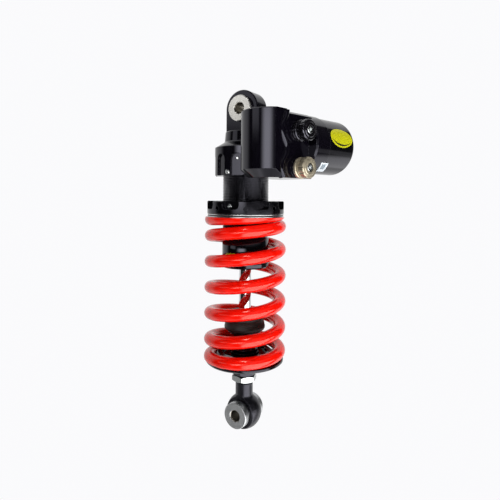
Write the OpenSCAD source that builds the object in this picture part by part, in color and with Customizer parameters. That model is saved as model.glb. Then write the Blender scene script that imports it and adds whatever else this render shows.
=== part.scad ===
// Motorcycle rear shock absorber: a coil-over damper with a gas reservoir beside its head.
// Millimetres. The origin is the centre of the upper eye, +Z is up and both eye bores run along Y.

/* [Overall] */
// Distance between the centres of the two eyes
eye_to_eye = 300; // [296:1:304]
// Radius of the bolt hole in the spacers of both eyes
bolt_r = 5.1; // [4.6:0.1:5.6]
// How far the upper spacers stand out of their lug
upper_stand_out = 4.2; // [3:0.1:6]
// How far the lower spacers stand out of the lower eye
lower_stand_out = 8.4; // [6:0.1:9]

/* [Damper] */
// Outer radius of the threaded damper tube
tube_r = 23; // [22.5:0.1:23.5]
// Bore radius of the damper tube
tube_bore = 20; // [19.5:0.1:20.4]
// Radius of the chromed piston rod
rod_r = 6; // [5.6:0.1:6.4]
// Height of the underside of the seal head
seal_head_low = -156.4; // [-158:0.1:-155]
// Widest radius of the rubber bump stop
bump_r = 20.3; // [18:0.1:22]

/* [Spring] */
// Thickness of the spring wire
wire_d = 12; // [11:0.5:12.5]
// Inner radius of the coils
coil_inner_r = 28.5; // [28.5:0.1:29.5]
// Height of the spring's ground upper end
spring_high = -106.6; // [-107.5:0.1:-106.2]
// Height of the spring's ground lower end
spring_low = -246.8; // [-248:0.1:-246]
// Number of turns, the closed ends included
turns = 6.8; // [6.7:0.05:6.9]

/* [Preload ring] */
// Outer radius of the preload ring
ring_r = 38.2; // [37.5:0.1:39]
// Number of C-spanner notches round the ring
notch_count = 8; // [6:1:8]
// Width of one notch
notch_w = 17; // [12:0.5:17.5]

/* [Head and valve block] */
// Radius of the upper eye lug
lug_r = 18.5; // [17:0.1:20]
// Thickness of the upper eye lug
lug_w = 18.6; // [17:0.1:20]
// Radius of the skirt that holds the damper tube
skirt_r = 31; // [30:0.1:32]
// Number of flutes round the skirt
flute_count = 10; // [8:1:10]
// Radius of the round nose of the valve block
nose_r = 27; // [26.5:0.1:27.5]
// Radius of the gas reservoir
reservoir_r = 26.9; // [26.5:0.1:27]
// Distance from the nose axis to the back end of the reservoir
reservoir_reach = 90; // [86:1:94]
// Radius of the adjuster knobs
knob_r = 9.4; // [8.8:0.1:9.8]

/* [Hidden] */
$fn = 64;

// Colours
black = "#1c1b20";
rubber = "#111114";
silver = "#c9cbcc";
steel = "#9fa3a8";
bronze = "#a8824a";
gold = "#c2b79c";
red = "#e01510";
nylon = "#24242a";

// Fits between moving pieces
running = 0.05;
gap = 0.3;

// Upper eye and head heights
lug_half = lug_w / 2;
edge = 1;
shoulder_z = -22.5;
flare_z = -32.5;
skirt_high = -38.8;
skirt_low = -66.5;
bridge_high = shoulder_z - 2;
bridge_low = -58;
upper_bush_r = 11;
upper_pin_r = 8;
upper_flange_r = 12.85;
bolt_chamfer = 0.9;

// Flutes of the skirt
flute_w = 11.5;
flute_floor = 28.5;
flute_high = -45.5;
flute_turn = -73.3;
grub_z = -63.3;
grub_r = 2.4;
bleed_z = -50.4;
bleed_r = 1.4;

// The valve block has its own frame: X out through the knobs, Y along the reservoir, Z up
block_x = 48.5;
block_y = -33.5;
block_turn = -14;
block_high = -12;
block_low = -70.3;
nose_chamfer = 7;
side_x = 21;
floor_x = 17.5;
boss_x = 20;
boss_r = 8.7;
spot_r = 22.8;
spot_round = 3;
knob_y = 14.7;
high_knob_z = -29;
low_knob_z = -61.5;
valve_r = 6.5;
valve_inner_x = -8;
stem_r = 3;
stem_x = 29;

// Reservoir, along the block's Y axis
reservoir_z = -37.5;
collar_r = 27.8;
collar_y = 30;
collar_rim_y = 50;
collar_bore_y = 40;
reservoir_bore = 23.5;
reservoir_round = 4.5;
reservoir_cap_y = reservoir_reach - 11;
floating_y = 54;

// Damper internals
seal_wire_r = 0.9;
tube_high = -44;
cap_high = -152;
guide_high = -133;
guide_low = -146;
guide_seal_z = -145;
rod_seal_low = -151;
piston_high = -107;
piston_low = -119;
stud_low = -121;
stud_high = -97;
stud_r = 4;
needle_r = 2;

// Preload ring and thrust bearing
ring_high = -91;
ring_low = -103.5;
hub_r = 31;
spigot_r = 28.1;
notch_floor = -99;
spanner_hole_z = -98;
lock_screw_z = -96;
lock_screw_r = 2.3;
lock_screw_turn = -86;
spigot_low = ring_low - 9.5;
front_turn = -57;
race_h = 1;
race_r = 38;

// Spring
coil_r = coil_inner_r + wire_d / 2;
tip_turn = 13;
closed_pitch = wire_d + 0.2;
tip_overrun = 2.4;
first_open = [0.9, 1.4];
last_open = [turns - 1.3, turns - 0.7];
open_turns = (last_open[0] + last_open[1] - first_open[0] - first_open[1]) / 2;
open_pitch = closed_pitch + (spring_high - spring_low + 2 * tip_overrun - closed_pitch * turns) / open_turns;
steps_per_turn = 28;
wire_sides = 12;
grind_crown = 0.03;

// Rod end
bump_high = -200.5;
bump_low = -219.5;
cup_low = -221.5;
spigot_high = -240;
seat_low = -249.8;
rod_low = -255;
foot_low = -263.4;
nut_low = -269.4;
foot_r = 9;
thread_r = 7;
eye_z = -eye_to_eye;
ball_eye_r = 17.3;
eye_half = 8;
stem_eye_r = 8.6;
race_outer_r = 12;
race_half = 6;
ball_r = 10;
ball_half = 7;
ball_bore = 6.5;
lower_flange_r = 12.45;
tilt_room = 1.3;

// A solid of revolution round Z from points given as [radius, height]
module turned(points) rotate_extrude() polygon(points);

// A ring round Z, with its two outer edges bevelled when bevel is above 0
module ring(r_out, r_in, low, high, bevel = 0) {
    if (bevel > 0)
        turned([[r_in, low], [r_out - bevel, low], [r_out, low + bevel],
                [r_out, high - bevel], [r_out - bevel, high], [r_in, high]]);
    else
        turned([[r_in, low], [r_out, low], [r_out, high], [r_in, high]]);
}

// Turns a shape built round Z so that its axis lies along Y, and then along X
module along_y() rotate([-90, 0, 0]) children();
module along_x() rotate([0, 90, 0]) children();

// Places children in the frame of the valve block, or round the reservoir's axis in that frame
module in_block() translate([block_x, block_y, 0]) rotate([0, 0, block_turn]) children();
module round_reservoir() in_block() translate([0, 0, reservoir_z]) along_y() children();

// Places children round the axis of one knob, with Z pointing out of the block
module round_knob(height) in_block() translate([0, knob_y, height]) along_x() children();

// A hexagonal prism round Z, given across its flats, with its corners turned off by bevel
module hexagon(across, low, high, bevel) {
    corner_r = across / sqrt(3);
    intersection() {
        translate([0, 0, low]) cylinder(r = corner_r, h = high - low, $fn = 6);
        turned([[0, low], [corner_r - 2 * bevel, low], [corner_r + 0.2, low + bevel * 1.2],
                [corner_r + 0.2, high - bevel * 1.2], [corner_r - 2 * bevel, high], [0, high]]);
    }
}

// Points on an arc from angle a to angle b
function arc(x, y, r, a, b, n = 6) = [for (i = [0:n]) [x + r * cos(a + (b - a) * i / n),
                                                      y + r * sin(a + (b - a) * i / n)]];

// ---- Head ----

// The eye lug: a bevelled disc on straight sides
module lug() {
    along_y() ring(lug_r, 0, -lug_half, lug_half, edge);
    translate([0, 0, shoulder_z - 2]) linear_extrude(-shoulder_z + 2) polygon([
        [-lug_r, -lug_half + edge], [-lug_r + edge, -lug_half], [lug_r - edge, -lug_half],
        [lug_r, -lug_half + edge], [lug_r, lug_half - edge], [lug_r - edge, lug_half],
        [-lug_r + edge, lug_half], [-lug_r, lug_half - edge]]);
}

// Neck, flare and skirt in one turned shape
module neck_and_skirt() {
    turned(concat([[0, shoulder_z], [19.8, shoulder_z], [20.6, shoulder_z - 0.8], [21.4, flare_z]],
                  [[22.6, flare_z - 1.2], [30.2, skirt_high + 0.6], [skirt_r, skirt_high]],
                  [[skirt_r, skirt_low + 0.6], [skirt_r - 0.6, skirt_low], [0, skirt_low]]));
}

// The web that joins the neck to the valve block
module bridge() in_block() translate([0, 6, 0]) rotate([-90, 0, 0]) linear_extrude(28) polygon([
    [-52, -bridge_high], [-38, -bridge_high], [-nose_r + 2, -block_high + 1], [-nose_r + 2, -block_low - 8],
    [-40, -block_low - 8], [-52, -bridge_low]]);

// The cut round a knob: a flat spot face with a rounded rim
module spot_face(height) round_knob(height) turned(concat(
    [[0, floor_x], [spot_r, floor_x], [spot_r, side_x - spot_round]],
    [for (p = arc(spot_r + spot_round, side_x - spot_round, spot_round, 180, 90)) p],
    [[spot_r + spot_round, side_x + 8], [0, side_x + 8]]));

// The block: a round nose, a body with a low side for the knobs, and the reservoir collar
module valve_block() in_block() {
    difference() {
        union() {
            turned([[0, block_high], [nose_r - 0.8, block_high], [nose_r, block_high - 0.8],
                    [nose_r, block_low + nose_chamfer], [nose_r - nose_chamfer, block_low], [0, block_low]]);
            rotate([-90, 0, 0]) linear_extrude(collar_y + 4) polygon([
                [-nose_r, -block_high + 0.8], [-nose_r + 0.8, -block_high], [side_x - 0.8, -block_high],
                [side_x, -block_high + 0.8], [side_x, -block_low - 1], [side_x - 1, -block_low],
                [-nose_r + nose_chamfer, -block_low], [-nose_r, -block_low - nose_chamfer]]);
        }
        translate([side_x, -40, block_low - 1]) cube([20, 120, 80]);
        translate([floor_x, knob_y, block_low - 1]) cube([20, 40, 80]);
        translate([0, -1, 0]) rotate([-90, 0, 0]) linear_extrude(60) polygon([
            [floor_x - 5, -block_high - 0.1], [floor_x, -block_high + 2.6],
            [floor_x + 12, -block_high + 2.6], [floor_x + 12, -block_high - 3]]);
    }
}

// The raised round lands under both knobs
module knob_lands() for (height = [high_knob_z, low_knob_z])
    round_knob(height) ring(boss_r, 0, floor_x - 2, boss_x, 0.5);

// The collar that the reservoir screws into
module collar() round_reservoir()
    turned([[0, collar_y], [collar_r - 1.5, collar_y], [collar_r, collar_y + 1.5],
            [collar_r, collar_rim_y - 1], [collar_r - 1, collar_rim_y], [0, collar_rim_y]]);

module flutes() {
    for (i = [0:flute_count - 1])
        rotate([0, 0, flute_turn + i * 360 / flute_count]) translate([flute_floor, 0, 0]) {
            translate([0, 0, flute_high - flute_w / 2]) rotate([0, 90, 0]) cylinder(d = flute_w, h = 8);
            translate([0, -flute_w / 2, skirt_low - 1])
                cube([8, flute_w, flute_high - flute_w / 2 - skirt_low + 1]);
        }
}

module head() color(black) difference() {
    union() {
        lug();
        difference() {
            neck_and_skirt();
            flutes();
        }
        bridge();
        difference() {
            valve_block();
            spot_face(high_knob_z);
            spot_face(low_knob_z);
        }
        knob_lands();
        collar();
    }
    // Bores: upper eye, damper tube and its seal, oil galleries, valves and reservoir
    along_y() cylinder(r = upper_bush_r, h = 60, center = true);
    translate([0, 0, skirt_low - 1]) cylinder(r = tube_r, h = tube_high - skirt_low + 1);
    ring(tube_bore + 1.5 + seal_wire_r, tube_bore + 1.5 - seal_wire_r, tube_high - 1,
         tube_high + 2 * seal_wire_r);
    translate([0, 0, tube_high - 2]) cylinder(r = 14, h = 16);
    round_knob(high_knob_z) translate([0, 0, -56]) cylinder(r = 3.5, h = 60);
    for (height = [high_knob_z, low_knob_z])
        round_knob(height) translate([0, 0, valve_inner_x]) cylinder(r = valve_r, h = 40);
    round_reservoir() translate([0, 0, collar_bore_y]) cylinder(r = reservoir_r, h = 20);
    round_reservoir() translate([0, 0, collar_bore_y - 3]) cylinder(r = reservoir_bore - 1, h = 10);
    in_block() translate([0, knob_y, low_knob_z + 12]) along_y() cylinder(r = 3.5, h = 40);
    in_block() translate([0, knob_y, low_knob_z]) cylinder(r = 3.5, h = 15);
    for (turn = [0, 180]) rotate([0, 0, turn + flute_turn - 18]) translate([0, 0, grub_z]) along_x()
        cylinder(r = grub_r, h = 40);
    rotate([0, 0, flute_turn]) translate([20, 0, bleed_z]) along_x() cylinder(r = bleed_r, h = 20);
}

// ---- Upper eye ----

module upper_bush() color(bronze) along_y() ring(upper_bush_r, upper_pin_r + running, -lug_half, lug_half);

// Two flanged spacers that turn in the bush and take the bolt
module upper_spacers() color(silver) {
    outer = lug_half + upper_stand_out;
    for (side = [0, 180]) rotate([0, 0, side]) along_y() turned([
        [bolt_r, 0.1], [upper_pin_r, 0.1], [upper_pin_r, lug_half + 0.2], [upper_flange_r, lug_half + 0.2],
        [upper_flange_r, outer - 0.8], [upper_flange_r - 0.8, outer],
        [bolt_r + bolt_chamfer, outer], [bolt_r, outer - bolt_chamfer]]);
}

// ---- Damper ----

module damper_tube() color(black) difference() {
    ring(tube_r, tube_bore, cap_high, tube_high, 0.6);
    ring(tube_bore + 0.9, tube_bore - 1, guide_high - 1.2, guide_high);
}

// A rubber ring of round section, centred at radius r and height z
module o_ring(r, z) color(rubber) rotate_extrude() translate([r, z]) circle(r = seal_wire_r);

module tube_seal() o_ring(tube_bore + 1.5, tube_high + seal_wire_r);

// The lower closure: a guide inside the tube with a rim below it
module seal_head() color(black) difference() {
    turned([[rod_r + 3, guide_high - 1.2], [tube_bore, guide_high - 1.2], [tube_bore, cap_high],
            [tube_r + 0.4, cap_high], [tube_r + 0.4, seal_head_low + 1.2], [tube_r - 0.8, seal_head_low],
            [12, seal_head_low], [11.2, seal_head_low + 0.8], [rod_r + 3, seal_head_low + 0.8]]);
    ring(tube_bore + 1, tube_bore - 2 * seal_wire_r, guide_seal_z - seal_wire_r, guide_seal_z + seal_wire_r);
}

module seal_head_seal() o_ring(tube_bore - seal_wire_r, guide_seal_z);

module seal_head_clip() color(steel) ring(tube_bore + 0.9, tube_bore - 1, guide_high - 1.2, guide_high);

module rod_bush() color(bronze) ring(rod_r + 3, rod_r + running, guide_low, guide_high - 1.2);

module rod_seal() color(rubber) ring(rod_r + 3, rod_r + running, rod_seal_low, guide_low - 0.5);

module rod_wiper() color(rubber)
    turned([[rod_r + running, rod_seal_low - 0.5], [rod_r + 3, rod_seal_low - 0.5],
            [rod_r + 3, seal_head_low + 0.8], [rod_r + 2, seal_head_low + 0.2],
            [rod_r + running, seal_head_low + 0.6]]);

module top_out_bumper() color(rubber) turned([
    [rod_r + 1, guide_high], [16, guide_high], [16, guide_high + 3.5], [14.5, guide_high + 5],
    [rod_r + 2.5, guide_high + 5], [rod_r + 1, guide_high + 3.5]]);

// Round-nosed locking screws through the ribs of the skirt
module grub_screws() color(silver)
    for (turn = [0, 180]) rotate([0, 0, turn + flute_turn - 18]) translate([0, 0, grub_z]) along_x()
        turned([[0, tube_r], [grub_r, tube_r], [grub_r, skirt_r - 0.2], [grub_r - 0.5, skirt_r + 0.7],
                [1, skirt_r + 1.2], [0, skirt_r + 1.3]]);

module bleed_screw() color(silver) rotate([0, 0, flute_turn]) translate([0, 0, bleed_z]) along_x()
    turned([[0, tube_r], [bleed_r, tube_r], [bleed_r, flute_floor + 0.4], [bleed_r - 0.4, flute_floor + 0.8],
            [0, flute_floor + 0.8]]);

// ---- Reservoir ----

module reservoir_tube() color(black) round_reservoir() difference() {
    round_r = reservoir_round;
    turned(concat([[reservoir_bore, collar_bore_y], [reservoir_r, collar_bore_y]],
                  arc(reservoir_r - round_r, reservoir_reach - round_r, round_r, 0, 70),
                  [[reservoir_bore, reservoir_reach - 0.3]]));
    ring(reservoir_bore + 0.8, 20, reservoir_reach - 3, reservoir_reach - 1.8);
}

module reservoir_cap() color(black) round_reservoir() difference() {
    turned([[3, reservoir_cap_y], [reservoir_bore, reservoir_cap_y], [reservoir_bore, reservoir_reach - 3],
            [18, reservoir_reach - 3], [17, reservoir_reach - 6], [3, reservoir_reach - 6]]);
    ring(reservoir_bore + 1, reservoir_bore - 1.8, reservoir_cap_y + 2.1, reservoir_cap_y + 3.9);
}

module reservoir_cap_seal() round_reservoir() o_ring(reservoir_bore - seal_wire_r, reservoir_cap_y + 3);

module reservoir_clip() color(steel) round_reservoir()
    ring(reservoir_bore + 0.8, reservoir_bore - 1.8, reservoir_reach - 3, reservoir_reach - 1.8);

module gas_valve() color(silver) round_reservoir()
    turned([[1, reservoir_cap_y - 2], [3, reservoir_cap_y - 2], [3, reservoir_reach - 6],
            [5.5, reservoir_reach - 6], [5.5, reservoir_reach - 4], [3.8, reservoir_reach - 4],
            [3.8, reservoir_reach + 1], [1, reservoir_reach + 1]]);

module gas_valve_cap() color(rubber) round_reservoir()
    turned([[3.8, reservoir_reach - 3.5], [5, reservoir_reach - 3.5], [5, reservoir_reach + 2],
            [4.4, reservoir_reach + 2.6], [0, reservoir_reach + 2.6], [0, reservoir_reach + 1],
            [3.8, reservoir_reach + 1]]);

// The piston that keeps the gas from the oil
module floating_piston() color(steel) round_reservoir() difference() {
    turned([[0, floating_y], [reservoir_bore - 0.5, floating_y], [reservoir_bore - 0.5, floating_y + 14],
            [18, floating_y + 14], [17, floating_y + 5], [0, floating_y + 5]]);
    ring(reservoir_bore + 1, reservoir_bore - 2, floating_y + 5.5, floating_y + 8.5);
}

module floating_piston_band() color(rubber) round_reservoir()
    ring(reservoir_bore - running, reservoir_bore - 2, floating_y + 5.5, floating_y + 8.5);

// ---- Compression adjusters ----

// A screwed-in valve with a thin stem for its knob
module valve(height) round_knob(height) turned([
    [0, valve_inner_x], [4, valve_inner_x], [valve_r, valve_inner_x + 3], [valve_r, boss_x],
    [stem_r, boss_x], [stem_r, stem_x], [0, stem_x]]);

module high_speed_valve() color(steel) valve(high_knob_z);

module low_speed_valve() color(steel) valve(low_knob_z);

// A spool-shaped knob: rear flange, grooved waist, and a lobed front disc
module knob(height) round_knob(height) difference() {
    turned([[stem_r + running, boss_x + gap], [knob_r - 0.6, boss_x + gap], [knob_r, boss_x + 0.9],
            [knob_r, boss_x + 2.6], [knob_r - 0.6, boss_x + 3.2], [knob_r - 1.9, boss_x + 3.6],
            [knob_r - 1.9, boss_x + 5.9], [knob_r - 0.5, boss_x + 6.4], [knob_r, boss_x + 7],
            [knob_r, boss_x + 11], [knob_r - 0.8, boss_x + 11.7], [knob_r - 2.6, boss_x + 11.9],
            [knob_r - 3.2, boss_x + 12.3], [stem_r + running, boss_x + 12.3]]);
    translate([0, 0, stem_x + 0.1]) cylinder(r = 4, h = 6);
    for (i = [0:11])
        rotate([0, 0, i * 30]) translate([knob_r + 1.35, 0, boss_x + 4.8]) cylinder(r = 1.8, h = 9);
}

module high_speed_knob() color(black) knob(high_knob_z);

module low_speed_knob() color(gold) knob(low_knob_z);

// The socket screw that holds a knob
module knob_screw(height) round_knob(height) difference() {
    turned([[0, stem_x + 0.1], [3.6, stem_x + 0.1], [3.6, stem_x + 2.6], [3.1, stem_x + 3.2],
            [0, stem_x + 3.2]]);
    translate([0, 0, stem_x + 1.6]) cylinder(r = 1.7, h = 4, $fn = 6);
}

module high_speed_screw() color(silver) knob_screw(high_knob_z);

module low_speed_screw() color(silver) knob_screw(low_knob_z);

// ---- Preload ring ----

module notch() {
    rotate([90, 0, 90]) linear_extrude(20) polygon(concat(
        [[-notch_w / 2, 5]],
        arc(-notch_w / 2 + 4, notch_floor - ring_high + 4, 4, 180, 270),
        arc(notch_w / 2 - 4, notch_floor - ring_high + 4, 4, 270, 360),
        [[notch_w / 2, 5]]));
}

module preload_ring() color(black) difference() {
    turned([[tube_r + running, spigot_low], [spigot_r - 1, spigot_low], [spigot_r, spigot_low + 1],
            [spigot_r, ring_low], [ring_r - 0.6, ring_low], [ring_r, ring_low + 0.6],
            [ring_r, ring_high - 0.8], [ring_r - 0.8, ring_high], [tube_r + 0.8, ring_high],
            [tube_r + running, ring_high - 0.8]]);
    for (i = [0:notch_count - 1]) rotate([0, 0, front_turn + (i + 0.5) * 360 / notch_count])
        translate([hub_r, 0, ring_high]) notch();
    for (i = [0:notch_count - 1]) rotate([0, 0, front_turn + i * 360 / notch_count])
        translate([ring_r - 8, 0, spanner_hole_z]) along_x() cylinder(r = 2.2, h = 12);
    rotate([0, 0, lock_screw_turn]) translate([tube_r - 1, 0, lock_screw_z]) along_x()
        cylinder(r = lock_screw_r, h = 12);
}

module ring_lock_screw() color(silver)
    rotate([0, 0, lock_screw_turn]) translate([0, 0, lock_screw_z]) along_x() difference() {
        turned([[0, tube_r + 0.3], [lock_screw_r, tube_r + 0.3], [lock_screw_r, hub_r + 0.2],
                [lock_screw_r - 0.5, hub_r + 0.7], [0, hub_r + 0.7]]);
        translate([0, 0, hub_r - 1.5]) cylinder(r = 1.2, h = 4, $fn = 6);
    }

module thrust_races() color(silver) for (high = [ring_low, spring_high + race_h])
    ring(race_r, spigot_r + gap, high - race_h, high, 0.2);

module thrust_cage() color(nylon)
    ring(race_r - 0.5, spigot_r + gap, spring_high + race_h, ring_low - race_h);

// ---- Spring ----

// Area under a ramp that climbs from 0 to 1 between a and b
function ramp_area(u, a, b) = u <= a ? 0 : u >= b ? u - (a + b) / 2 : pow(u - a, 2) / (2 * (b - a));

// Height of the wire's centre after u turns from the upper tip
function wire_z(u) = spring_high + tip_overrun - closed_pitch * u
    - (open_pitch - closed_pitch) * (ramp_area(u, first_open[0], first_open[1])
                                     - ramp_area(u, last_open[0], last_open[1]));

// A point on the wire's surface, ground off at both end planes with a slight crown
function wire_point(u, a) = let (
    turn = tip_turn - 360 * u,
    r = coil_r + wire_d / 2 * cos(a),
    crown = grind_crown * pow(cos(a), 2),
    z = wire_z(u) + wire_d / 2 * sin(a)
) [r * cos(turn), r * sin(turn), max(spring_low + crown, min(spring_high - crown, z))];

module spring() color(red) {
    count = round(turns * steps_per_turn);
    sides = wire_sides;
    points = [for (i = [0:count]) for (j = [0:sides - 1]) wire_point(i * turns / count, 360 * j / sides)];
    walls = [for (i = [0:count - 1]) for (j = [0:sides - 1]) let (k = (j + 1) % sides)
        each [[i * sides + j, i * sides + k, (i + 1) * sides + j],
              [i * sides + k, (i + 1) * sides + k, (i + 1) * sides + j]]];
    ends = [[for (j = [sides - 1:-1:0]) j], [for (j = [0:sides - 1]) count * sides + j]];
    polyhedron(points, concat(walls, ends));
}

// ---- Rod ----

module piston_rod() color(silver) turned([
    [needle_r + 0.2, rod_low], [rod_r, rod_low], [rod_r, stud_low], [stud_r, stud_low], [stud_r, stud_high],
    [needle_r + 0.2, stud_high]]);

module piston() color(steel) difference() {
    ring(tube_bore - 0.4, stud_r, piston_low, piston_high, 0.6);
    ring(tube_bore + 1, tube_bore - 2, piston_low + 3, piston_high - 3);
    for (i = [0:5]) rotate([0, 0, i * 60]) translate([10.5, 0, piston_low - 1]) cylinder(r = 2.4, h = 20);
}

module piston_band() color(nylon) ring(tube_bore - running, tube_bore - 2, piston_low + 3, piston_high - 3);

// A stack of thin discs that get smaller away from the piston
module shims(face, side) for (i = [0:3])
    ring(14 - 2 * i, stud_r, min(face + side * 0.5 * i, face + side * 0.5 * (i + 1)),
         max(face + side * 0.5 * i, face + side * 0.5 * (i + 1)));

module rebound_shims() color(steel) shims(piston_high, 1);

module compression_shims() color(steel) shims(piston_low, -1);

module piston_nut() color(steel) difference() {
    hexagon(14, piston_high + 2, stud_high - 1, 0.8);
    cylinder(r = stud_r, h = 400, center = true);
}

module rebound_needle() color(steel)
    turned([[0, rod_low + 1.5], [needle_r, rod_low + 1.5], [needle_r, piston_high + 3], [0.6, stud_high - 2],
            [0, stud_high - 2]]);

module bump_stop() color(rubber) turned(concat(
    [[rod_r, bump_low], [bump_r - 4.4, bump_low]],
    arc(bump_r - 4, bump_low + 4, 4, -84, 20, 6),
    [[bump_r - 0.7, bump_low + 8.5], [17.2, bump_high - 3.4], [15.4, bump_high - 1], [13.6, bump_high],
     [rod_r + 1, bump_high], [rod_r, bump_high - 1]]));

module bump_stop_cup() color(black) ring(16, rod_r, cup_low, bump_low, 0.5);

module seat_tower() color(black) turned([
    [rod_r, spigot_high], [13.5, spigot_high], [13.5, spigot_high + 3], [12, spigot_high + 4.5],
    [12, cup_low], [rod_r, cup_low]]);

// The lower spring seat: a flange with a spigot inside the coils
module spring_seat() color(black) turned([
    [10, seat_low], [37.4, seat_low], [38.5, seat_low + 1.1], [38.5, spring_low - 0.3], [38.2, spring_low],
    [28, spring_low], [28, spigot_high - 1.2], [26.8, spigot_high], [22.5, spigot_high],
    [21.5, spigot_high - 2.5], [14.5, spigot_high - 2.5], [14, spigot_high], [10, spigot_high]]);

// The end fitting that joins the rod, the spring seat and the lower eye
module rod_foot() color(black) turned([
    [rod_r, spigot_high - 2], [10, spigot_high - 2], [10, seat_low], [12, seat_low], [12, seat_low - 1.5],
    [foot_r, seat_low - 1.5], [foot_r, foot_low], [thread_r, foot_low], [thread_r, rod_low],
    [rod_r, rod_low]]);

module rebound_adjuster() color(black) rotate([0, 0, -76]) difference() {
    hexagon(21, foot_low + gap, seat_low - 1.5 - gap, 0.8);
    translate([0, 0, foot_low - 1]) cylinder(r = foot_r + running, h = 20);
}

module lock_nut() color(silver) rotate([0, 0, -9.6]) difference() {
    hexagon(22, nut_low, foot_low, 1);
    translate([0, 0, nut_low - 1]) cylinder(r = thread_r, h = 20);
}

// ---- Lower eye ----

// A stem that widens in a smooth curve into a ball with two flat faces
module lower_eye() {
    fillet_r = 4;
    reach = ball_eye_r + fillet_r;
    side = stem_eye_r + fillet_r;
    lift = sqrt(reach * reach - side * side);
    touch = atan2(lift, side);
    color(black) translate([0, 0, eye_z]) difference() {
        turned(concat(
            arc(0, 0, ball_eye_r, -90, touch, 20),
            arc(side, lift, fillet_r, 180 + touch, 180, 5),
            [[stem_eye_r, nut_low - 2.4 - eye_z], [stem_eye_r - 0.6, nut_low - 1.8 - eye_z],
             [thread_r, nut_low - 1.2 - eye_z], [thread_r, rod_low - 0.5 - eye_z],
             [0, rod_low - 0.5 - eye_z]]));
        for (turn = [0, 180]) rotate([0, 0, turn]) translate([-30, eye_half, -30]) cube([60, 30, 30 + lift]);
        along_y() cylinder(r = race_outer_r, h = 60, center = true);
    }
}

// The outer race of the spherical bearing, with a hollow that fits the ball
module bearing_race() color(steel) translate([0, 0, eye_z]) along_y() difference() {
    ring(race_outer_r, 5, -race_half, race_half);
    sphere(r = ball_r + running);
}

module bearing_clips() color(steel) translate([0, 0, eye_z]) for (side = [0, 180])
    rotate([0, 0, side]) along_y() ring(race_outer_r, race_outer_r - 1.6, race_half, race_half + 1);

module bearing_ball() color(silver) translate([0, 0, eye_z]) along_y() difference() {
    sphere(r = ball_r);
    cylinder(r = ball_bore, h = 40, center = true);
    for (side = [0, 180]) rotate([side, 0, 0]) translate([-20, -20, ball_half - 0.3]) cube([40, 40, 20]);
}

// Two flanged spacers that turn in the ball and take the bolt
module lower_spacers() color(silver) translate([0, 0, eye_z]) {
    inner = eye_half + tilt_room;
    outer = eye_half + lower_stand_out;
    for (side = [0, 180]) rotate([0, 0, side]) along_y() turned([
        [bolt_r, 0.1], [ball_bore - running, 0.1], [ball_bore - running, inner - 2], [7.6, inner - 1.6],
        [7.6, inner], [lower_flange_r - 0.4, inner], [lower_flange_r, inner + 0.4],
        [lower_flange_r, outer - 0.4], [lower_flange_r - 0.4, outer],
        [bolt_r + bolt_chamfer, outer], [bolt_r, outer - bolt_chamfer]]);
}

head();
upper_bush();
upper_spacers();
damper_tube();
tube_seal();
seal_head();
seal_head_seal();
seal_head_clip();
rod_bush();
rod_seal();
rod_wiper();
top_out_bumper();
grub_screws();
bleed_screw();
reservoir_tube();
reservoir_cap();
reservoir_cap_seal();
reservoir_clip();
gas_valve();
gas_valve_cap();
floating_piston();
floating_piston_band();
high_speed_valve();
low_speed_valve();
high_speed_knob();
low_speed_knob();
high_speed_screw();
low_speed_screw();
preload_ring();
ring_lock_screw();
thrust_races();
thrust_cage();
spring();
piston_rod();
piston();
piston_band();
rebound_shims();
compression_shims();
piston_nut();
rebound_needle();
bump_stop();
bump_stop_cup();
seat_tower();
spring_seat();
rod_foot();
rebound_adjuster();
lock_nut();
lower_eye();
bearing_race();
bearing_clips();
bearing_ball();
lower_spacers();
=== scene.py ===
"""Looks for the motorcycle rear shock absorber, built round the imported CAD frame.

Everything is in metres in the CAD frame: the origin is the centre of the upper eye, +Z is up and the eye
bores run along Y. The other lengths are written in millimetres.
"""
import math

import bpy
from mathutils import Matrix, Vector


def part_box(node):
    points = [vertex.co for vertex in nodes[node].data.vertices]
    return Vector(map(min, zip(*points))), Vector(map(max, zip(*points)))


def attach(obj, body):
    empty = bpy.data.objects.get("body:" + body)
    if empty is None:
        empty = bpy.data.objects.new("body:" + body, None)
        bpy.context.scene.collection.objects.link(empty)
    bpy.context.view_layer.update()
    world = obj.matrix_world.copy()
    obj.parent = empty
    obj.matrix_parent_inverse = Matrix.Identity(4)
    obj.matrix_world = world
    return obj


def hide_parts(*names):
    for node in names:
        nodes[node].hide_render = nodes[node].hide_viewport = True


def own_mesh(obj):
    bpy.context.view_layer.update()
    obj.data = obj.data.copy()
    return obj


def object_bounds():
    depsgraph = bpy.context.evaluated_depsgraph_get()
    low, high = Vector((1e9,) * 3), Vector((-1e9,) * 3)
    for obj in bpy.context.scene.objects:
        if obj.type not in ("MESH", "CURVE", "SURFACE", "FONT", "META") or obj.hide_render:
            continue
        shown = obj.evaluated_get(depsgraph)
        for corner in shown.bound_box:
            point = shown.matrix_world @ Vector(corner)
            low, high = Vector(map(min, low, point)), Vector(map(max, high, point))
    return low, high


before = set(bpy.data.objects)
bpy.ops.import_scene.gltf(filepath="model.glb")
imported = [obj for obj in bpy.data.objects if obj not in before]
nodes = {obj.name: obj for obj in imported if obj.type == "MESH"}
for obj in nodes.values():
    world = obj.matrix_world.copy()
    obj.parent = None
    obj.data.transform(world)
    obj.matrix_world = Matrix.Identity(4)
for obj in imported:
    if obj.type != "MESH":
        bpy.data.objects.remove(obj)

MM = 0.001
cad_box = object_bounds()


# ---- Materials ----

# The range of a noise that clouds use, and how far a bevelled normal turns away at an edge's rim and middle
CLOUD = (0.3, 0.7)
EDGE_FALL = (0.985, 0.80)
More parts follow.
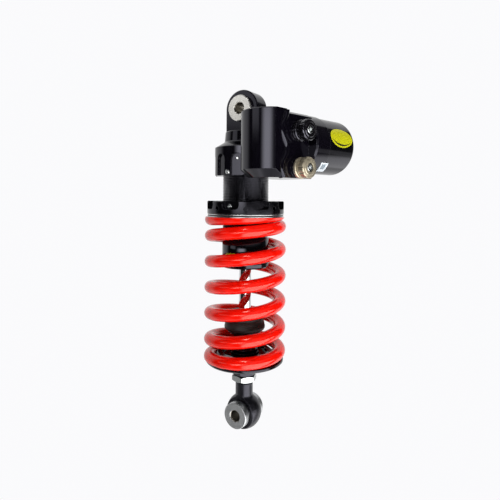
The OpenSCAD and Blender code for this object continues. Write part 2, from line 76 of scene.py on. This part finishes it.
# Tints of the highlights, the distance between tool marks, the colour of the painted shade inside a bolt bore
# and how far past the bore's radius that painted shade starts and ends its fade
DYED_HIGHLIGHT = (0.86, 0.85, 1.0, 1)
WARM_HIGHLIGHT = (1.0, 0.90, 0.74, 1)
TOOL_MARK = 0.25
PAINTED_BORE_SHADE = (0.27, 0.25, 0.215, 1.0)
BORE_EDGE = (0.5, 0.8)

class Shader:
    """A node material with one Principled shader and short calls for what most materials need."""

    def __init__(self, name, colour, rough, metallic=0.0, specular=0.5, coat=0.0, coat_rough=0.1):
        self.material = bpy.data.materials.new(name)
        self.material.use_nodes = True
        self.tree = self.material.node_tree
        self.bsdf = self.tree.nodes["Principled BSDF"]
        self.colour = (*colour, 1.0)
        self.rough = rough
        self.bsdf.inputs["Base Color"].default_value = self.colour
        self.bsdf.inputs["Roughness"].default_value = rough
        self.bsdf.inputs["Metallic"].default_value = metallic
        self.bsdf.inputs["Specular IOR Level"].default_value = specular
        self.bsdf.inputs["Coat Weight"].default_value = coat
        self.bsdf.inputs["Coat Roughness"].default_value = coat_rough
        self.position = self.node("ShaderNodeTexCoord").outputs["Object"]
        self.normal = None

    def node(self, kind, **values):
        """A new node, with attributes set from lower-case names and sockets from capitalised ones."""
        made = self.tree.nodes.new(kind)
        for key, value in values.items():
            if key[0].isupper():
                made.inputs[key.replace("_", " ")].default_value = value
            else:
                setattr(made, key, value)
        return made

    def link(self, output, socket):
        self.tree.links.new(output, socket)

    def noise(self, size, detail, seed=0.0):
        """Noise whose features are about size millimetres across."""
        place = self.node("ShaderNodeMapping", Location=(seed, 2 * seed, 3 * seed))
        self.link(self.position, place.inputs["Vector"])
        made = self.node("ShaderNodeTexNoise", Scale=1 / (size * MM), Detail=detail, Roughness=0.55)
        self.link(place.outputs["Vector"], made.inputs["Vector"])
        return made.outputs["Fac"]

    def map_range(self, source, low, high, to_low, to_high):
        made = self.node("ShaderNodeMapRange", From_Min=low, From_Max=high, To_Min=to_low, To_Max=to_high)
        self.link(source, made.inputs["Value"])
        return made.outputs["Result"]

    def mix_colour(self, factor, first, second):
        """Mixes two colours; each is a colour or another node's output."""
        made = self.node("ShaderNodeMix", data_type="RGBA")
        self.link(factor, made.inputs["Factor"])
        for value, socket in ((first, made.inputs[6]), (second, made.inputs[7])):
            if isinstance(value, tuple):
                socket.default_value = value
            else:
                self.link(value, socket)
        return made.outputs[2]

    def round_edges(self, radius):
        """Softens sharp edges in the shading, by radius millimetres."""
        self.normal = self.node("ShaderNodeBevel", samples=6, Radius=radius * MM).outputs["Normal"]

    def edge_mask(self, radius):
        """1 on sharp edges, falling to 0 within radius millimetres of them."""
        soft = self.node("ShaderNodeBevel", samples=6, Radius=radius * MM).outputs["Normal"]
        hard = self.node("ShaderNodeNewGeometry").outputs["Normal"]
        dot = self.node("ShaderNodeVectorMath", operation="DOT_PRODUCT")
        self.link(soft, dot.inputs[0])
        self.link(hard, dot.inputs[1])
        return self.map_range(dot.outputs["Value"], *EDGE_FALL, 0.0, 1.0)

    def bump(self, height, depth):
        """Raises the surface by depth millimetres where height is 1."""
        made = self.node("ShaderNodeBump", Strength=1.0, Distance=depth * MM)
        self.link(height, made.inputs["Height"])
        if self.normal:
            self.link(self.normal, made.inputs["Normal"])
        self.normal = made.outputs["Normal"]

    def vary(self, size, colour_share, rough_share, seed=0.0):
        """Cloudy changes of colour and gloss, as shares of their own values."""
        cloud = self.noise(size, 4.0, seed)
        low = tuple(c * (1 - colour_share) for c in self.colour[:3]) + (1.0,)
        high = tuple(min(1.0, c * (1 + colour_share)) for c in self.colour[:3]) + (1.0,)
        mixed = self.mix_colour(self.map_range(cloud, *CLOUD, 0.0, 1.0), low, high)
        rough = self.map_range(cloud, *CLOUD, self.rough * (1 - rough_share), self.rough * (1 + rough_share))
        self.link(rough, self.bsdf.inputs["Roughness"])
        return mixed

    def finish(self, colour=None):
        if colour is not None:
            self.link(colour, self.bsdf.inputs["Base Color"])
        if self.normal:
            self.link(self.normal, self.bsdf.inputs["Normal"])
        return self.material


def anodised(name, colour, rough, wear=(0.10, 0.10, 0.12), metallic=0.0, specular=0.6, seed=0.0):
    """Anodised aluminium: a fine satin grain, cloudy dye and edges that are rubbed a little lighter."""
    s = Shader(name, colour, rough, metallic, specular)
    s.bsdf.inputs["Specular Tint"].default_value = DYED_HIGHLIGHT
    s.round_edges(0.35)
    s.bump(s.noise(0.35, 2.0, seed=seed), 0.004)
    base = s.vary(9, 0.25, 0.12, seed=seed)
    patch = s.map_range(s.noise(3, 3.0, seed=seed + 5), 0.45, 0.65, 0.15, 1.0)
    edge = s.node("ShaderNodeMath", operation="MULTIPLY")
    s.link(s.edge_mask(0.3), edge.inputs[0])
    s.link(patch, edge.inputs[1])
    return s.finish(s.mix_colour(edge.outputs["Value"], base, (*wear, 1.0)))


def turned_metal(name, colour, rough, centre=(0, 0, 0), across=(1, 1, 0), depth=0.004, bore=0.0, seed=0.0):
    """Machined metal with fine tool rings round an axis through centre; across is 0 along that axis.

    Where bore is a radius in millimetres, what lies inside it and its chamfer is painted darker, as painted
    shade inside the bore.
    """
    s = Shader(name, colour, rough, metallic=1.0)
    s.round_edges(0.3)
    offset = s.node("ShaderNodeMapping", vector_type="TEXTURE", Location=Vector(centre) * MM)
    s.link(s.position, offset.inputs["Vector"])
    flat = s.node("ShaderNodeVectorMath", operation="MULTIPLY")
    s.link(offset.outputs["Vector"], flat.inputs[0])
    flat.inputs[1].default_value = across
    length = s.node("ShaderNodeVectorMath", operation="LENGTH")
    s.link(flat.outputs["Vector"], length.inputs[0])
    rings = s.node("ShaderNodeTexNoise", noise_dimensions="1D", Scale=1 / (TOOL_MARK * MM), Detail=2.0)
    s.link(length.outputs["Value"], rings.inputs["W"])
    s.bump(rings.outputs["Fac"], depth)
    base = s.vary(5, 0.05, 0.12, seed=seed)
    # Painted shade: the bore and its chamfer are painted darker, fading back to the plain colour just past
    # the bore's radius
    if bore:
        start, end = ((bore + edge) * MM for edge in BORE_EDGE)
        base = s.mix_colour(s.map_range(length.outputs["Value"], start, end, 1.0, 0.0), base, PAINTED_BORE_SHADE)
    return s.finish(base)


def rubber(name, colour, rough=0.55, seed=0.0):
    """Moulded rubber with a dull pebbled skin."""
    s = Shader(name, colour, rough, specular=0.45)
    s.round_edges(0.5)
    s.bump(s.noise(0.8, 4.0, seed=seed), 0.03)
    return s.finish(s.vary(5, 0.3, 0.15, seed=seed))


def powder_coat(name, colour):
    """Glossy baked coating with a slight orange peel and clouds of deeper colour."""
    s = Shader(name, colour, 0.16, specular=0.5, coat=0.1, coat_rough=0.06)
    s.bsdf.inputs["Specular Tint"].default_value = WARM_HIGHLIGHT
    s.bump(s.noise(1.6, 2.0), 0.02)
    return s.finish(s.vary(14, 0.06, 0.2))


def printed(name, colour):
    """Printed film: smooth, with a faint mottle."""
    s = Shader(name, colour, 0.3, specular=0.5)
    s.bump(s.noise(2.5, 2.0), 0.006)
    return s.finish(s.vary(6, 0.04, 0.2))


EYE = (0, 0, -300)
BOLT_R = 5.1
black = anodised("anodised_black", (0.0018, 0.0016, 0.0024), 0.10, specular=0.5)
black_satin = anodised("anodised_black_satin", (0.0035, 0.0032, 0.0045), 0.34, seed=4.0)
black_block = anodised("anodised_black_block", (0.0025, 0.002, 0.004), 0.09, specular=0.42, seed=3.0)
black_bright = anodised("anodised_black_bright", (0.004, 0.0036, 0.0045), 0.10, specular=0.8, seed=6.0)
gold = anodised("anodised_gold", (0.50, 0.44, 0.32), 0.34, (0.75, 0.70, 0.58), metallic=0.75, seed=9.0)
red = powder_coat("red_powder_coat", (0.84, 0.005, 0.0008))
chrome = turned_metal("hard_chrome", (0.80, 0.80, 0.82), 0.09, depth=0.0002)
zinc = turned_metal("zinc_plate", (0.60, 0.62, 0.62), 0.22, seed=2.0)
zinc_spacer = turned_metal("zinc_spacer", (0.62, 0.63, 0.64), 0.42, EYE, (1, 0, 1), bore=BOLT_R, seed=3.0)
champagne = turned_metal("champagne_plate", (0.92, 0.90, 0.85), 0.25, across=(1, 0, 1), bore=BOLT_R, seed=4.0)
steel = turned_metal("bright_steel", (0.5, 0.5, 0.52), 0.22, seed=8.0)
bronze = turned_metal("bearing_bronze", (0.45, 0.28, 0.10), 0.35, (0, 0, 0), (1, 0, 1), seed=11.0)
black_rubber = rubber("black_rubber", (0.010, 0.009, 0.009))
stop_rubber = rubber("bump_rubber", (0.012, 0.009, 0.008), 0.5, seed=5.0)
nylon = rubber("black_nylon", (0.015, 0.015, 0.017), 0.4, seed=7.0)
yellow_film = printed("yellow_film", (0.42, 0.41, 0.004))
black_film = printed("black_film", (0.006, 0.006, 0.006))
white_film = printed("white_film", (0.55, 0.60, 0.64))
grey_film = printed("grey_film", (0.18, 0.23, 0.27))

FINISHES = {
    black: ["damper_tube", "seal_head", "reservoir_tube", "reservoir_cap", "bump_stop_cup", "seat_tower",
            "spring_seat", "preload_ring"],
    black_satin: ["rod_foot", "rebound_adjuster", "lower_eye"],
    black_block: ["head"],
    black_bright: ["high_speed_knob"],
    gold: ["low_speed_knob"],
    red: ["spring"],
    chrome: ["piston_rod"],
    zinc_spacer: ["lower_spacers"],
    zinc: ["lock_nut", "grub_screws", "bleed_screw", "ring_lock_screw", "high_speed_screw",
           "low_speed_screw", "thrust_races", "gas_valve"],
    champagne: ["upper_spacers"],
    steel: ["seal_head_clip", "reservoir_clip", "floating_piston", "high_speed_valve", "low_speed_valve",
            "piston", "rebound_shims", "compression_shims", "piston_nut", "rebound_needle", "bearing_race",
            "bearing_clips", "bearing_ball"],
    bronze: ["upper_bush", "rod_bush"],
    black_rubber: ["tube_seal", "seal_head_seal", "rod_seal", "rod_wiper", "top_out_bumper",
                   "reservoir_cap_seal", "floating_piston_band", "gas_valve_cap"],
    stop_rubber: ["bump_stop"],
    nylon: ["thrust_cage", "piston_band"],
}


def finish_cad_nodes():
    """Gives every CAD node its material and smooth shading within each of its faces."""
    for material, names in FINISHES.items():
        for name in names:
            mesh = nodes[name].data
            mesh.materials.clear()
            mesh.materials.append(material)
            for polygon in mesh.polygons:
                polygon.material_index = 0
                polygon.use_smooth = True


# ---- Mesh helpers ----

def piece(name, points, faces, material, body, sharp):
    """A mesh piece from points in millimetres, shaded smooth but for edges over sharp degrees."""
    mesh = bpy.data.meshes.new(name)
    mesh.from_pydata([Vector(p) * MM for p in points], [], faces)
    mesh.validate()
    mesh.update()
    for polygon in mesh.polygons:
        polygon.use_smooth = True
    mesh.set_sharp_from_angle(angle=math.radians(sharp))
    mesh.materials.append(material)
    made = bpy.data.objects.new(name, mesh)
    bpy.context.scene.collection.objects.link(made)
    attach(made, body)
    return made


def grid_faces(rows, columns, wrap_rows=False, wrap_columns=False, start=0):
    """Quads over a grid of points stored row by row."""
    faces = []
    for i in range(rows if wrap_rows else rows - 1):
        for j in range(columns if wrap_columns else columns - 1):
            a = start + i * columns + j
            b = start + i * columns + (j + 1) % columns
            up = ((i + 1) % rows - i) * columns
            faces.append((a, b, b + up, a + up))
    return faces


def turned_points(profile, segments):
    """Points of a solid of revolution round Z, one row for each profile point."""
    turns = [2 * math.pi * j / segments for j in range(segments)]
    return [(r * math.cos(t), r * math.sin(t), z) for r, z in profile for t in turns]


def arc(x, y, r, a, b, steps=8):
    """Points on an arc from angle a to angle b, in degrees."""
    angles = [math.radians(a + (b - a) * i / steps) for i in range(steps + 1)]
    return [(x + r * math.cos(t), y + r * math.sin(t)) for t in angles]


# ---- Spring ----

CLOSED_PITCH = 12.2
SPRING_TURNS = 6.8
TIP_TURN = 13.0
TIP_OVERRUN = 2.4
FIRST_OPEN = (0.9, 1.4)
LAST_OPEN = (5.5, 6.1)
STEPS_PER_TURN = 90
WIRE_SIDES = 36


def ramp_area(u, a, b):
    """Area under a ramp that climbs from 0 to 1 between a and b."""
    if u <= a:
        return 0.0
    return u - (a + b) / 2 if u >= b else (u - a) ** 2 / (2 * (b - a))


def build_spring():
    """The coil: round wire with closed ends that are ground flat."""
    low, high = (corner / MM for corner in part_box("spring"))
    wire_r = 6.0
    coil_r = high.x - wire_r
    open_turns = sum(LAST_OPEN) / 2 - sum(FIRST_OPEN) / 2
    drop = high.z - low.z + 2 * TIP_OVERRUN
    open_pitch = CLOSED_PITCH + (drop - CLOSED_PITCH * SPRING_TURNS) / open_turns
    count = round(SPRING_TURNS * STEPS_PER_TURN)
    points = []
    for i in range(count + 1):
        u = SPRING_TURNS * i / count
        turn = math.radians(TIP_TURN - 360 * u)
        open_share = ramp_area(u, *FIRST_OPEN) - ramp_area(u, *LAST_OPEN)
        centre_z = high.z + TIP_OVERRUN - CLOSED_PITCH * u - (open_pitch - CLOSED_PITCH) * open_share
        for j in range(WIRE_SIDES):
            side = 2 * math.pi * j / WIRE_SIDES
            r = coil_r + wire_r * math.cos(side)
            z = min(high.z, max(low.z, centre_z + wire_r * math.sin(side)))
            points.append((r * math.cos(turn), r * math.sin(turn), z))
    faces = grid_faces(count + 1, WIRE_SIDES, wrap_columns=True)
    faces.append(tuple(reversed(range(WIRE_SIDES))))
    faces.append(tuple(count * WIRE_SIDES + j for j in range(WIRE_SIDES)))
    coil = piece("spring_coil", points, faces, red, "spring_perch", 40)
    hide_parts("spring")
    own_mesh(coil)


# ---- Bump stop ----

def build_bump_stop():
    """A moulded rubber cone with a bulged foot and one shallow waist."""
    low, high = (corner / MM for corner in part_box("bump_stop"))
    bore = 6.05
    foot = high.x
    body = arc(foot - 4, low.z + 4, 4, -84, 25) + [(foot - 0.8, low.z + 8.2), (foot - 1.9, low.z + 10.4)]
    body += arc(foot - 0.6, low.z + 12.2, 2.2, 215, 150, 5) + [(17.4, high.z - 3.8), (16.4, high.z - 2.2)]
    body += arc(14.2, high.z - 1.6, 1.6, 20, 88, 5)
    profile = [(bore, low.z), (foot - 4.4, low.z)] + body + [(bore + 1, high.z), (bore, high.z - 1)]
    segments = 128
    faces = grid_faces(len(profile), segments, wrap_rows=True, wrap_columns=True)
    points = turned_points(profile, segments)
    made = piece("bump_rubber", points, faces, stop_rubber, "rod", 50)
    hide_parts("bump_stop")
    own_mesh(made)


# ---- Damper tube with its thread ----

def build_damper_tube():
    """The tube: a rolled thread on its upper part, a short relief and a plain lower part."""
    low, high = (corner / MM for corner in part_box("damper_tube"))
    outer, bore = high.x, 20.0
    pitch, depth = 1.5, 0.55
    thread_high, thread_low = -64.0, -124.0
    segments, steps = 96, 6
    rows = [(outer - 0.6, high.z), (outer - 0.2, high.z - 0.6), (outer - 0.2, thread_high + pitch)]
    points = turned_points(rows, segments)
    count = round((thread_high - thread_low) / pitch * steps)
    for i in range(count + 1):
        base = thread_high + (thread_low - thread_high) * i / count
        fade = min(1.0, i / steps, (count - i) / steps)
        for j in range(segments):
            wave = (i / steps + j / segments) % 1.0
            groove = depth * fade * min(1.0, 1.25 * abs(2 * wave - 1))
            turn = 2 * math.pi * j / segments
            points.append(((outer - groove) * math.cos(turn), (outer - groove) * math.sin(turn), base))
    ends = [(outer - 0.1, thread_low - 1), (outer - 0.9, thread_low - 1.3), (outer - 0.9, thread_low - 3),
            (outer, thread_low - 3.6), (outer, low.z + 0.5), (outer - 0.5, low.z), (bore, low.z),
            (bore, high.z)]
    points += turned_points(ends, segments)
    total = len(rows) + count + 1 + len(ends)
    faces = [tuple(reversed(f)) for f in grid_faces(total, segments, wrap_rows=True, wrap_columns=True)]
    made = piece("threaded_tube", points, faces, black, "damper", 60)
    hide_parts("damper_tube")


# ---- Stickers ----

BLOCK_TURN = math.radians(-14)
BLOCK = Matrix.Translation((48.5, -33.5, 0)) @ Matrix.Rotation(BLOCK_TURN, 4, "Z")
BLOCK_SIDE = 21.0
BLOCK_HIGH, BLOCK_LOW = -12.0, -70.3
KNOB_Z = (-29.0, -61.5)
RESERVOIR_Z = -37.5
RESERVOIR_R, COLLAR_R, TUBE_R = 26.9, 27.8, 23.0
FILM = 0.09
PRINT_LIFT = 0.08


def on_reservoir(radius):
    """A map from (distance along the reservoir, arc length up its side) to a point over its surface."""
    def place(along, around, lift):
        turn = around / radius
        r = radius + lift
        return BLOCK @ Vector((r * math.cos(turn), along, RESERVOIR_Z + r * math.sin(turn)))
    return place


def on_tube(radius, middle_turn, middle_z):
    """A map from (arc length round the damper tube, height) to a point over its surface."""
    def place(across, up, lift):
        turn = math.radians(middle_turn) + across / radius
        r = radius + lift
        return Vector((r * math.cos(turn), r * math.sin(turn), middle_z + up))
    return place


def film(name, rows, columns, place, spot, material, lift=0.02, closed=False):
    """A thin film over a surface: spot(u, v) gives its flat shape for u and v from 0 to 1.

    A closed film is a ring: v goes once round it, and u goes from its inner edge to its outer one.
    """
    points = []
    for height in (lift, lift + FILM):
        for i in range(rows + 1):
            for j in range(columns if closed else columns + 1):
                points.append(place(*spot(i / rows, j / columns), height))
    wide = columns if closed else columns + 1
    layer = (rows + 1) * wide
    under = [tuple(reversed(f)) for f in grid_faces(rows + 1, wide, wrap_columns=closed)]
    over = grid_faces(rows + 1, wide, wrap_columns=closed, start=layer)
    rim = []
    if closed:
        border = [rows * wide + j for j in range(wide)]
        loops = [(border, False), (list(range(wide)), True)]
    else:
        border = list(range(wide))
        border += [i * wide + wide - 1 for i in range(1, rows + 1)]
        border += [rows * wide + j for j in range(wide - 2, -1, -1)]
        border += [i * wide for i in range(rows - 1, 0, -1)]
        loops = [(border, True)]
    for loop, flip in loops:
        for a, b in zip(loop, loop[1:] + loop[:1]):
            quad = (a, b, b + layer, a + layer)
            rim.append(quad if flip else tuple(reversed(quad)))
    piece(name, points, under + over + rim, material, "damper", 40)


def build_casting_rim():
    """The rounded wavy rim where the block's flat side ends, bowed round each knob."""
    rim_r, steps, sides = 3.4, 96, 32
    reach, bow = -4.6, 3.2
    wave = 2 * math.pi / (KNOB_Z[0] - KNOB_Z[1])
    points = []
    for i in range(steps + 1):
        z = BLOCK_HIGH - 0.6 + (BLOCK_LOW - BLOCK_HIGH + 1.6) * i / steps
        phase = wave * (z - KNOB_Z[0])
        y = reach - bow * math.cos(phase)
        slope = math.atan(bow * wave * math.sin(phase))
        for j in range(sides):
            turn = 2 * math.pi * j / sides
            out, across = rim_r * math.cos(turn), rim_r * math.sin(turn)
            points.append(BLOCK @ Vector((BLOCK_SIDE - rim_r + 0.3 + out, y + across * math.cos(slope),
                                          z - across * math.sin(slope))))
    faces = [tuple(reversed(f)) for f in grid_faces(steps + 1, sides, wrap_columns=True)]
    faces.append(tuple(range(sides)))
    faces.append(tuple(reversed(range(steps * sides, (steps + 1) * sides))))
    piece("casting_rim", points, faces, black_block, "damper", 40)


def build_stickers():
    """An oval yellow badge with a dark crescent, a small white label, and a yellow band on the tube."""
    badge, collar = on_reservoir(RESERVOIR_R), on_reservoir(COLLAR_R)
    tube = on_tube(TUBE_R, -93, -146)
    middle, rise = 68.4, 7.0
    half_long, half_high = 17.0, 9.4

    def oval(share, turn):
        angle = 2 * math.pi * turn
        reach = 0.02 + 0.98 * share
        return middle + half_long * reach * math.cos(angle), rise + half_high * reach * math.sin(angle)

    def crescent(share, turn):
        angle = math.radians(188 + 140 * turn)
        bulge = math.sin(math.pi * turn)
        reach = 0.84 - 0.17 * bulge * (1 - share)
        return middle + half_long * reach * math.cos(angle), rise + half_high * reach * math.sin(angle)

    def label(u, v):
        return 43.6 + 10.4 * u + 3.5 * v, math.radians(-39 - 25 * v) * COLLAR_R

    def label_print(u, v):
        return label(0.2 + 0.55 * u, 0.15 + 0.5 * v)

    def band(u, v):
        return 7.5 * (2 * u - 1), 4.6 * (2 * v - 1)

    film("white_label", 6, 16, collar, label, white_film)
    film("white_label_print", 4, 12, collar, label_print, grey_film, lift=PRINT_LIFT)
    film("tube_band", 24, 4, tube, band, yellow_film)
    film("oval_badge", 10, 72, badge, oval, yellow_film, closed=True)
    film("oval_badge_crescent", 2, 48, badge, crescent, black_film, lift=PRINT_LIFT)


# ---- Stage ----

PALE = (0.96, 0.96, 0.975, 1)

# Patches of the studio: start and end azimuth, softness, low and high edge, softness (all in degrees), and
# either the light that the patch adds (above 0) or the share that it takes away (below 0)
STUDIO = [
    # Dark screens on the right, which keep the block's flat side and the reservoir black
    (31, 68, 2, -18, 50, 4, -0.95),
    (31, 46, 4, -62, -16, 4, -0.95),
    # The softbox beside the camera, a dim one over it, and cards on the left for both eyes' spacers
    (-92, -60, 11, -1, 13, 3, 6.5),
    (-58, 28, 4, 24, 40, 6, 0.35),
    (-136, -108, 3, 8.5, 20, 1.5, 1.3),
    (-178, -95, 8, -70, -17, 5, 0.42),
    # A strip just below the horizon, its dim right end, the low softbox and a low card on the right
    (-52, 29, 4, -16, -2.8, 0.8, 5.0),
    (29, 66, 4, -18, -9, 1, 0.4),
    (-62, 20, 6, -72, -15, 5, 4.2),
    (46, 80, 5, -60, -18, 5, 1.0),
    # A small bright lamp high above the camera, and the pale ground
    (-76, -54, 4, 56, 66, 3, 14.0),
    (-180, 180, 0.1, -90, -62, 5, 0.9),
]
# The light from all round the camera, before the patches, and the way that the camera looks
FRONT_LEVEL = 0.02
AHEAD = Vector((-0.5373, 0.8434, 0)).normalized()


def build_floor():
    """A round pale floor a little below the lower eye."""
    radius, sides = 0.5, 96
    height = cad_box[0][2] - 0.06
    rim = [(radius * math.cos(2 * math.pi * i / sides), radius * math.sin(2 * math.pi * i / sides), height)
           for i in range(sides)]
    mesh = bpy.data.meshes.new("floor")
    mesh.from_pydata(rim, [], [tuple(range(sides))])
    floor = bpy.data.objects.new("floor", mesh)
    bpy.context.scene.collection.objects.link(floor)
    material = bpy.data.materials.new("pale_floor")
    material.use_nodes = True
    bsdf = material.node_tree.nodes["Principled BSDF"]
    bsdf.inputs["Base Color"].default_value = (0, 0, 0, 1)
    bsdf.inputs["Roughness"].default_value = 1.0
    bsdf.inputs["Specular IOR Level"].default_value = 0.0
    bsdf.inputs["Emission Color"].default_value = PALE
    bsdf.inputs["Emission Strength"].default_value = 1.0
    mesh.materials.append(material)
    floor.visible_glossy = False
    floor.visible_diffuse = False


def build_world():
    """A studio that is white behind the part and nearly dark round the camera, but for STUDIO's patches."""
    world = bpy.data.worlds.new("studio")
    bpy.context.scene.world = world
    world.use_nodes = True
    tree = world.node_tree
    for old in list(tree.nodes):
        tree.nodes.remove(old)
    link = tree.links.new

    def math_node(operation, first, second=None):
        made = tree.nodes.new("ShaderNodeMath")
        made.operation = operation
        for socket, value in zip(made.inputs, (first, second)):
            if isinstance(value, (int, float)):
                socket.default_value = value
            elif value is not None:
                link(value, socket)
        return made.outputs["Value"]

    def rise(source, start, end):
        """0 below start and 1 above end, with a smooth climb; it falls instead where start is above end."""
        made = tree.nodes.new("ShaderNodeMapRange")
        made.interpolation_type = "SMOOTHSTEP"
        low, high = min(start, end), max(start, end)
        made.inputs["From Min"].default_value = low
        made.inputs["From Max"].default_value = high
        made.inputs["To Min"].default_value = 0.0 if start < end else 1.0
        made.inputs["To Max"].default_value = 1.0 if start < end else 0.0
        link(source, made.inputs["Value"])
        return made.outputs["Result"]

    looking = tree.nodes.new("ShaderNodeTexCoord").outputs["Generated"]
    direction = tree.nodes.new("ShaderNodeSeparateXYZ")
    link(looking, direction.inputs["Vector"])
    degrees = 180 / math.pi
    turn = math_node("ARCTAN2", direction.outputs["Y"], direction.outputs["X"])
    turn = math_node("MULTIPLY", turn, degrees)
    height = math_node("MULTIPLY", math_node("ARCSINE", direction.outputs["Z"]), degrees)

    behind = tree.nodes.new("ShaderNodeVectorMath")
    behind.operation = "DOT_PRODUCT"
    link(looking, behind.inputs[0])
    behind.inputs[1].default_value = AHEAD
    level = math_node("MULTIPLY", rise(behind.outputs["Value"], -0.05, 0.3), 1 - FRONT_LEVEL)
    level = math_node("ADD", level, FRONT_LEVEL)
    for start, end, soft, low, high, soft_height, change in STUDIO:
        across = math_node("MULTIPLY", rise(turn, start - soft, start + soft),
                           rise(turn, end + soft, end - soft))
        tall = math_node("MULTIPLY", rise(height, low - soft_height, low + soft_height),
                         rise(height, high + soft_height, high - soft_height))
        patch = math_node("MULTIPLY", across, tall)
        if change < 0:
            level = math_node("MULTIPLY", level, math_node("ADD", 1.0, math_node("MULTIPLY", patch, change)))
        else:
            level = math_node("ADD", level, math_node("MULTIPLY", patch, change))
    lit = tree.nodes.new("ShaderNodeBackground")
    link(level, lit.inputs["Strength"])
    seen = tree.nodes.new("ShaderNodeBackground")
    seen.inputs["Color"].default_value = PALE
    choose = tree.nodes.new("ShaderNodeMixShader")
    link(tree.nodes.new("ShaderNodeLightPath").outputs["Is Camera Ray"], choose.inputs[0])
    link(lit.outputs["Background"], choose.inputs[1])
    link(seen.outputs["Background"], choose.inputs[2])
    link(choose.outputs["Shader"], tree.nodes.new("ShaderNodeOutputWorld").inputs["Surface"])
    bpy.context.scene.view_settings.view_transform = "Standard"


def build_key_light():
    """A broad soft key from the right of the camera that only lights dull surfaces."""
    data = bpy.data.lights.new("key", "SUN")
    data.energy = 1.3
    data.angle = math.radians(50)
    key = bpy.data.objects.new("key", data)
    bpy.context.scene.collection.objects.link(key)
    turn, height = math.radians(-28), math.radians(25)
    towards = Vector((math.cos(height) * math.cos(turn), math.cos(height) * math.sin(turn), math.sin(height)))
    key.rotation_euler = towards.to_track_quat("Z", "Y").to_euler()
    key.visible_glossy = False


def build_camera():
    """The camera stands nearly half a metre off, level with the middle of the damper tube."""
    data = bpy.data.cameras.new("camera")
    data.sensor_width = 36.0
    data.lens = 33.12
    data.shift_y = -0.105
    data.clip_start = 0.01
    data.clip_end = 100
    camera = bpy.data.objects.new("camera", data)
    bpy.context.scene.collection.objects.link(camera)
    bpy.context.scene.camera = camera
    roll = 0.47
    up = Vector((0, 0, 1))
    view = Matrix((AHEAD.cross(up), up, -AHEAD)).transposed().to_4x4()
    place = Matrix.Translation((0.251, -0.386, -0.0875))
    camera.matrix_world = place @ view @ Matrix.Rotation(math.radians(roll), 4, "Z")


finish_cad_nodes()
build_spring()
build_bump_stop()
build_damper_tube()
build_casting_rim()
build_stickers()
build_floor()
build_world()
build_key_light()
build_camera()
